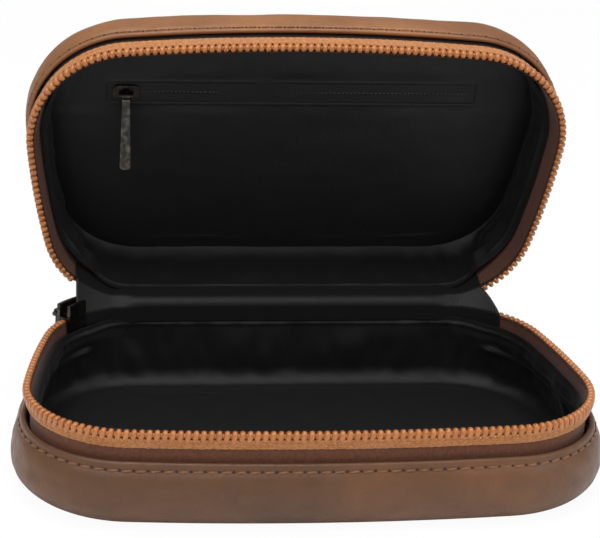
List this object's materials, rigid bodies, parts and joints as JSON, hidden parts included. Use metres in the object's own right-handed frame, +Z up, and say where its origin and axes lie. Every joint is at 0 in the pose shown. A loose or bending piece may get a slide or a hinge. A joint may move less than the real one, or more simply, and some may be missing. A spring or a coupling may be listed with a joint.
{
  "type": "toiletry bag",
  "caption": "Clamshell leather toiletry bag with a two-way opening coil zip, a fabric hinge, dark lining and a zipped lid pocket.",
  "frame": {"origin": "centre of the tray's flat bottom panel, which the bag stands on", "axes": "+X along the width to the right as seen from the open front, +Y back towards the hinge, +Z up"},
  "size_m": [0.2096, 0.1493, 0.1556],
  "materials": {
    "tan_leather": "satin",
    "black_lining": "satin",
    "tan_tape": "matte",
    "orange_coil": "gloss",
    "gunmetal": "satin",
    "padding": "matte",
    "board": "matte",
    "tan_thread": "matte",
    "black_coil": "satin"
  },
  "bodies": {
    "base": {"base_panel": "tan_leather", "base_wall": "tan_leather", "base_back_wall": "tan_leather", "base_board": "board", "base_padding": "padding", "base_lining_wall": "black_lining", "base_lining_floor": "black_lining", "base_zip_tape": "tan_tape", "base_zip_coil": "orange_coil", "base_zip_stops": "orange_coil", "base_stitching": "tan_thread", "hinge_leather": "tan_leather", "hinge_lining": "black_lining", "left_gusset": "black_lining", "right_gusset": "black_lining"},
    "lid": {"lid_panel": "tan_leather", "lid_wall": "tan_leather", "lid_back_wall": "tan_leather", "lid_board": "board", "lid_padding": "padding", "lid_lining_wall": "black_lining", "lid_lining_panel": "black_lining", "lid_zip_tape": "tan_tape", "lid_zip_coil": "orange_coil", "lid_zip_stops": "orange_coil", "lid_stitching": "tan_thread", "pocket_pouch": "black_lining", "pocket_upper_tape": "black_lining", "pocket_lower_tape": "black_lining", "pocket_upper_coil": "black_coil", "pocket_lower_coil": "black_coil", "pocket_zip_stops": "gunmetal"},
    "main_slider": {"main_slider": "gunmetal"},
    "main_puller": {"main_puller": "gunmetal"},
    "pocket_slider": {"pocket_slider": "gunmetal"},
    "pocket_puller": {"pocket_puller": "gunmetal"}
  },
  "joints": [
    {"name": "lid_hinge", "type": "hinge", "parent": "base", "child": "lid", "pos_m": [0, 0.056, 0.035], "axis": [-1, 0, 0], "range_deg": [-75, 105], "deforming": ["hinge_leather", "hinge_lining", "left_gusset", "right_gusset"]},
    {"name": "main_zip_slide", "type": "hinge", "parent": "base", "child": "main_slider", "pos_m": [-0.05825, 0.021, 0.035], "axis": [0, 0, 1], "range_deg": [0, 22]},
    {"name": "main_puller_swing", "type": "hinge", "parent": "main_slider", "child": "main_puller", "pos_m": [-0.08791, 0.04866, 0.035], "axis": [0.682, 0.7314, 0], "range_deg": [-2, 150]},
    {"name": "pocket_zip_slide", "type": "slide", "parent": "lid", "child": "pocket_slider", "axis": [1, 0, 0], "range_m": [0, 0.126]},
    {"name": "pocket_puller_swing", "type": "hinge", "parent": "pocket_slider", "child": "pocket_puller", "pos_m": [-0.0637, 0.06061, 0.11699], "axis": [-1, 0, 0], "range_deg": [-13, 140]}
  ]
}
